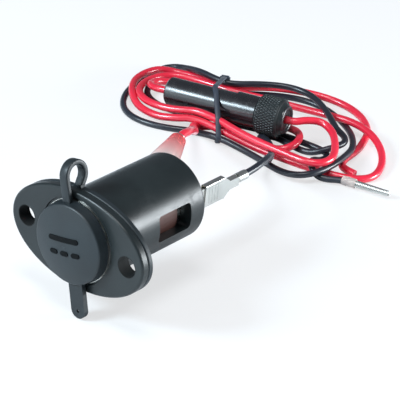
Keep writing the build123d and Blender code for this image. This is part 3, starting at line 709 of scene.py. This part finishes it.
def makeSign():
    turn = math.radians(sign["turn"])
    across = Vector((math.cos(turn), 0, math.sin(turn)))
    up = Vector((-math.sin(turn), 0, math.cos(turn)))
    cap = nodes["cap"].data
    tree = BVHTree.FromPolygons([v.co for v in cap.vertices], [p.vertices for p in cap.polygons])
    build = bmesh.new()
    gap = (sign["barLength"] - 3 * sign["dashLength"]) / 2
    side, top = sign["raise"] * sign["sideShare"], sign["raise"]
    section = [(-1, -sign["sink"]), (-1, side), (-sign["topShare"], top)]
    section += [(-share, level) for share, level in reversed(section)]
    rows = [(0.0, sign["spread"], sign["barLength"])]
    rows += [(k * (sign["dashLength"] + gap), -sign["spread"], sign["dashLength"]) for k in (-1, 0, 1)]
    for middle, height, length in rows:
        corner = sign["barWidth"] * sign["corner"]
        ends = [length / 2 - corner * share for share in sign["endShares"]]
        between = [ends[-1] * (1 - k / sign["bodyRows"]) for k in range(1, sign["bodyRows"])]
        stations = ends + between + [0.0] + [-x for x in reversed(ends + between)]
        rings = []
        for station in stations:
            left = max(0.0, corner - (length / 2 - abs(station)))
            half = sign["barWidth"] / 2 - corner + math.sqrt(corner * corner - left * left)
            ring = []
            for share, level in section:
                spot = across * ((middle + station) * mm) + up * ((height + half * share) * mm)
                hit = tree.ray_cast(spot + Vector((0, sign["rayStart"], 0)) * mm, Vector((0, 1, 0)))[0]
                ring.append(build.verts.new(hit + Vector((0, -level * mm, 0))))
            rings.append(ring)
        for first, second in zip(rings, rings[1:]):
            for i in range(len(first)):
                j = (i + 1) % len(first)
                build.faces.new((first[i], first[j], second[j], second[i]))
        build.faces.new(rings[-1])
        build.faces.new(rings[0][::-1])
    bmesh.ops.recalc_face_normals(build, faces=build.faces)
    mesh = bpy.data.meshes.new("capSign")
    build.to_mesh(mesh)
    build.free()
    # the sign's near-black finish is painted shade of sunk letters
    mesh.materials.append(finishes["sign_painted_shade"])
    keepPiece("capSign", smoothed(mesh), "black_rubber", "socket_cap")


makeSign()
print("sign made")


# Geometry Nodes helpers

def newTree(name, inputs):
    tree = bpy.data.node_groups.new(name, "GeometryNodeTree")
    kinds = {float: "NodeSocketFloat", int: "NodeSocketInt"}
    for label, value in inputs.items():
        socket = tree.interface.new_socket(label, in_out="INPUT", socket_type=kinds[type(value)])
        socket.default_value = value
    tree.interface.new_socket("Finish", in_out="INPUT", socket_type="NodeSocketMaterial")
    tree.interface.new_socket("Geometry", in_out="OUTPUT", socket_type="NodeSocketGeometry")
    return tree, tree.nodes.new("NodeGroupInput").outputs, tree.nodes.new("NodeGroupOutput")


def add(tree, kind, **values):
    node = tree.nodes.new(kind)
    for label, value in values.items():
        feed(tree, node.inputs[label.replace("_", " ")], value)
    return node


def closeTree(tree, start, end, geometry):
    real = tree.nodes.new("GeometryNodeRealizeInstances")
    coat = tree.nodes.new("GeometryNodeSetMaterial")
    tree.links.new(geometry, real.inputs["Geometry"])
    tree.links.new(real.outputs["Geometry"], coat.inputs["Geometry"])
    tree.links.new(start["Finish"], coat.inputs["Material"])
    tree.links.new(coat.outputs["Geometry"], end.inputs["Geometry"])


def growMesh(name, tree, values, finish, place):
    # runs the tree on a bare mesh, and keeps the result as a mesh of its own at its place
    seed = bpy.data.objects.new(name + "Seed", bpy.data.meshes.new(name + "Seed"))
    bpy.context.scene.collection.objects.link(seed)
    modifier = seed.modifiers.new(name, "NODES")
    modifier.node_group = tree
    for item in tree.interface.items_tree:
        if item.in_out == "INPUT":
            modifier[item.identifier] = finishes[finish] if item.name == "Finish" else values[item.name]
    graph = bpy.context.evaluated_depsgraph_get()
    mesh = bpy.data.meshes.new_from_object(seed.evaluated_get(graph))
    seed.modifiers.clear()
    bpy.data.objects.remove(seed)
    mesh.name = name
    mesh.transform(place)
    mesh.update()
    return mesh


fuseHolder = {
    "foot": (-33.7, -8.6, 8.2),        # the small end, on the hank
    "knurlStart": 37.8,        # along the holder
}


def fusePlace(distance):
    # a frame on the fuse holder's axis: X along it, Z up
    joint = next(joint for joint in frame["joints"] if joint["name"] == "fuse_cap_travel")
    along = Vector(joint["axis"]).normalized()
    left = Vector((0, 0, 1)).cross(along).normalized()
    turn = Matrix((along, left, along.cross(left))).transposed().to_4x4()
    foot = Vector(onHank(fuseHolder["foot"])) * mm
    return Matrix.Translation(foot + along * distance * mm) @ turn


# Knurl round the fuse holder's cap

knurl = {
    "Radius": 7.14,
    "Length": 8.2,
    "Depth": 0.34,
    "Starts": 44,
    "Lead": 3.9,        # ridges that a line along the cap crosses
    "Around": 528,
    "Rows": 48,
    "Crest": 1.7,        # over 1, the ridges' tops are flat
    "Run Out": 14.0,        # the ridges fade over a 14th of the length at both ends
    "Weld": 0.002,
}


def knurlTree():
    tree, start, end = newTree("knurl", knurl)
    grid = add(tree, "GeometryNodeMeshGrid", Size_X=1.0, Size_Y=1.0,
               Vertices_X=start["Around"], Vertices_Y=start["Rows"])
    spot = tree.nodes.new("GeometryNodeInputPosition")
    split = add(tree, "ShaderNodeSeparateXYZ", Vector=spot.outputs[0])
    u = sums(tree, "ADD", split.outputs["X"], 0.5)
    v = sums(tree, "ADD", split.outputs["Y"], 0.5)
    rise = None
    for direction in (1.0, -1.0):
        run = sums(tree, "MULTIPLY", sums(tree, "MULTIPLY", v, start["Lead"]), direction)
        phase = sums(tree, "FRACT", sums(tree, "ADD", sums(tree, "MULTIPLY", u, start["Starts"]), run))
        tooth = sums(tree, "SUBTRACT", 1.0, sums(tree, "ABSOLUTE", sums(tree, "MULTIPLY_ADD", phase, 2.0, -1.0)))
        rise = tooth if rise is None else sums(tree, "MULTIPLY", rise, tooth)
    rise = sums(tree, "MINIMUM", sums(tree, "MULTIPLY", rise, start["Crest"]), 1.0)
    edge = sums(tree, "MINIMUM", v, sums(tree, "SUBTRACT", 1.0, v))
    edge = sums(tree, "MULTIPLY", edge, start["Run Out"])
    rise = sums(tree, "MULTIPLY", rise, sums(tree, "MINIMUM", sums(tree, "MAXIMUM", edge, 0.0), 1.0))
    radius = sums(tree, "MULTIPLY_ADD", rise, start["Depth"], start["Radius"])
    angle = sums(tree, "MULTIPLY", u, 2 * math.pi)
    goal = add(
        tree, "ShaderNodeCombineXYZ",
        X=sums(tree, "MULTIPLY", v, start["Length"]),
        Y=sums(tree, "MULTIPLY", radius, sums(tree, "COSINE", angle)),
        Z=sums(tree, "MULTIPLY", radius, sums(tree, "SINE", angle)),
    )
    moved = add(tree, "GeometryNodeSetPosition", Geometry=grid.outputs["Mesh"], Position=goal.outputs[0])
    welded = add(tree, "GeometryNodeMergeByDistance", Geometry=moved.outputs[0], Distance=start["Weld"])
    closeTree(tree, start, end, welded.outputs[0])
    return tree


knurlPlace = fusePlace(fuseHolder["knurlStart"]) @ Matrix.Scale(mm, 4)
knurlMesh = growMesh("capKnurl", knurlTree(), knurl, "black_plastic", knurlPlace)
knurlMesh.flip_normals()
keepPiece("capKnurl", smoothed(knurlMesh, angle=40.0), "black_plastic", "fuse_screw_cap")
print("knurl cut")


# Dished end of the fuse holder's cap, a ring round the lead

capEnd = {
    "place": 47.6,        # along the holder
    "radius": 3.45,
    "steps": 72,
    "outline": [(-0.9, -0.3), (1.75, -0.3), (1.82, 0.35), (1.5, 0.72), (1.0, 0.75), (0.6, 0.4),
                (0.4, 0.12), (-0.9, 0.12)],        # out from the radius, along the holder
}


def makeCapEnd():
    place = fusePlace(capEnd["place"])
    turn = place.to_3x3()
    spots, frames = [], []
    for i in range(capEnd["steps"]):
        angle = 2 * math.pi * i / capEnd["steps"]
        outward = Vector((0, math.cos(angle), math.sin(angle)))
        spots.append(place @ (outward * capEnd["radius"] * mm))
        frames.append((turn @ outward, turn @ Vector((1, 0, 0))))
    outline = [(out * mm, along * mm) for out, along in capEnd["outline"]]
    mesh = sweepMesh("capEnd", spots, frames, outline, closed=True)
    keepPiece("capEnd", smoothed(mesh, angle=50.0), "black_gloss", "fuse_screw_cap")


makeCapEnd()
print("cap end dished")


# Twisted strands at the ground lead's end

strands = {
    "Count": 7,
    "Twist": 2.1,        # turns over the length
    "Length": 15.0,
    "Root Radius": 0.95,
    "Tip Radius": 0.62,
    "Strand Radius": 0.45,
    "Steps": 70,
    "Sides": 10,
}


def strandTree():
    tree, start, end = newTree("twistedStrands", strands)
    helix = add(tree, "GeometryNodeCurveSpiral", Resolution=start["Steps"], Rotations=start["Twist"],
                Start_Radius=start["Root Radius"], End_Radius=start["Tip Radius"], Height=start["Length"])
    ring = add(tree, "GeometryNodeCurvePrimitiveCircle", Resolution=start["Sides"], Radius=start["Strand Radius"])
    tube = add(tree, "GeometryNodeCurveToMesh", Curve=helix.outputs[0], Profile_Curve=ring.outputs[0],
               Fill_Caps=True)
    points = add(tree, "GeometryNodeMeshLine", Count=start["Count"], Offset=(0.0, 0.0, 0.0))
    index = tree.nodes.new("GeometryNodeInputIndex").outputs[0]
    angle = sums(tree, "DIVIDE", sums(tree, "MULTIPLY", index, 2 * math.pi), start["Count"])
    turn = add(tree, "ShaderNodeCombineXYZ", Z=angle)
    spread = add(tree, "GeometryNodeInstanceOnPoints", Points=points.outputs[0], Instance=tube.outputs[0],
                 Rotation=turn.outputs[0])
    closeTree(tree, start, end, spread.outputs[0])
    return tree


def alongHank(point):
    # a frame on the hank with Z along its length
    turn = math.radians(hank["angle"])
    along = Vector((math.cos(turn), math.sin(turn), 0))
    rise = Vector((0, 0, 1))
    left = rise.cross(along)
    return Matrix.Translation(Vector(onHank(point)) * mm) @ Matrix((rise, left, along)).transposed().to_4x4()


strandMesh = growMesh("tinnedStrands", strandTree(), strands, "tinned_brass",
                      alongHank(groundLead["end"][-1]) @ Matrix.Scale(mm, 4))
keepPiece("tinnedStrands", smoothed(strandMesh, angle=60.0), "tinned_brass", "socket", ["ground_end_strands"])
print("strands twisted")


# Ribs pressed into the bare terminal's grip

ribs = {
    "Count": 4,
    "Pitch": 1.45,
    "Reach": 5.6,
    "Radius": 0.42,
    "Sides": 16,
}
ribPlace = {
    "sink": 0.22,        # from the terminal's side to the ribs' middle
    "first": 2.0,        # from its mouth
}


def ribTree():
    tree, start, end = newTree("pressedRibs", ribs)
    bar = add(tree, "GeometryNodeCurvePrimitiveLine", Start=(0.0, 0.0, -0.5), End=(0.0, 0.0, 0.5))
    size = add(tree, "ShaderNodeCombineXYZ", X=1.0, Y=1.0, Z=start["Reach"])
    span = add(tree, "GeometryNodeTransform", Geometry=bar.outputs[0], Scale=size.outputs[0])
    ring = add(tree, "GeometryNodeCurvePrimitiveCircle", Resolution=start["Sides"], Radius=start["Radius"])
    rod = add(tree, "GeometryNodeCurveToMesh", Curve=span.outputs[0], Profile_Curve=ring.outputs[0],
              Fill_Caps=True)
    step = add(tree, "ShaderNodeCombineXYZ", Y=start["Pitch"])
    line = add(tree, "GeometryNodeMeshLine", Count=start["Count"], Offset=step.outputs[0])
    row = add(tree, "GeometryNodeInstanceOnPoints", Points=line.outputs[0], Instance=rod.outputs[0])
    closeTree(tree, start, end, row.outputs[0])
    return tree


low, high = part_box("ground_terminal")
ribFoot = Vector((high[0] - ribPlace["sink"] * mm, low[1] + ribPlace["first"] * mm, 0))
ribMesh = growMesh("terminalRibs", ribTree(), ribs, "tinned_brass",
                   Matrix.Translation(ribFoot) @ Matrix.Scale(mm, 4))
keepPiece("terminalRibs", smoothed(ribMesh, angle=50.0), "tinned_brass", "socket")
print("ribs pressed")


# Tie round the hank

tie = {
    "width": 2.0,
    "thickness": 1.0,
    "corner": 0.45,
    "strands": [(-21.1, 2.1, 1.2), (-18.4, 3.9, 1.4), (-17.2, 7.2, 1.4), (14.4, 2.1, 1.2), (15.6, 4.7, 1.4),
                (12.1, 7.2, 1.2), (-8.6, 9.0, 5.3)],        # across, height and radius of what it holds
    "over": (-15.3, -8.6),        # where it crosses the fuse holder
    "frontSlant": 34.0,        # degrees off square across the hank, in front of the holder and behind it
    "rearSlant": 15.0,
    "headSize": (3.8, 3.4, 2.5),
    "headPlace": (15.4, 7.2),
    "headTilt": -24.0,
    "headBevel": 0.5,
    "steps": 48,        # round each strand
}


def hull(points):
    points = sorted(set(points))
    halves = []
    for run in (points, points[::-1]):
        side = []
        for p in run:
            while len(side) > 1 and ((side[-1][0] - side[-2][0]) * (p[1] - side[-2][1])
                                     - (side[-1][1] - side[-2][1]) * (p[0] - side[-2][0])) <= 0:
                side.pop()
            side.append(p)
        halves += side[:-1]
    return halves


def tieAlong(y):
    # how far along the hank the tie lies at a place across it
    x, middle = tie["over"]
    slant = tie["frontSlant"] if y < middle else tie["rearSlant"]
    return x - (y - middle) * math.tan(math.radians(slant))


def makeTie():
    around = []
    for y, height, radius in tie["strands"]:
        away = radius + tie["thickness"] / 2
        for i in range(tie["steps"]):
            angle = 2 * math.pi * i / tie["steps"]
            around.append((round(y + away * math.cos(angle), 5), round(height + away * math.sin(angle), 5)))
    loop = hull(around)
    spots = [Vector(onHank((tieAlong(y), y, height))) * mm for y, height in loop]
    frames = []
    for i in range(len(spots)):
        heading = (spots[(i + 1) % len(spots)] - spots[i - 1]).normalized()
        slant = tie["frontSlant"] if loop[i][0] < tie["over"][1] else tie["rearSlant"]
        turn = math.radians(hank["angle"] + slant)
        along = Vector((math.cos(turn), math.sin(turn), 0))
        frames.append((along, heading.cross(along)))
    outline = roundedOutline(tie["width"], tie["thickness"], tie["corner"], steps=2)
    mesh = sweepMesh("hankTie", spots, frames, outline, closed=True)
    build = bmesh.new()
    build.from_mesh(mesh)
    y, height = tie["headPlace"]
    turn = math.radians(hank["angle"] + tie["rearSlant"])
    place = Matrix.Translation(Vector(onHank((tieAlong(y), y, height))) * mm) @ Matrix.Rotation(turn, 4, "Z")
    tilt = Matrix.Rotation(math.radians(tie["headTilt"]), 3, "X")
    head = bmesh.ops.create_cube(build, size=1.0)["verts"]
    bmesh.ops.scale(build, vec=Vector(tie["headSize"]) * mm, verts=head)
    bmesh.ops.rotate(build, cent=(0, 0, 0), matrix=tilt, verts=head)
    bmesh.ops.transform(build, matrix=place, verts=head)
    edges = [edge for edge in build.edges if edge.verts[0] in head]
    bmesh.ops.bevel(build, geom=edges, offset=tie["headBevel"] * mm, segments=2, affect="EDGES")
    build.to_mesh(mesh)
    build.free()
    keepPiece("hankTie", smoothed(mesh, angle=40.0), "tie_nylon", "socket", ["cable_tie"])


makeTie()
print("tie drawn")
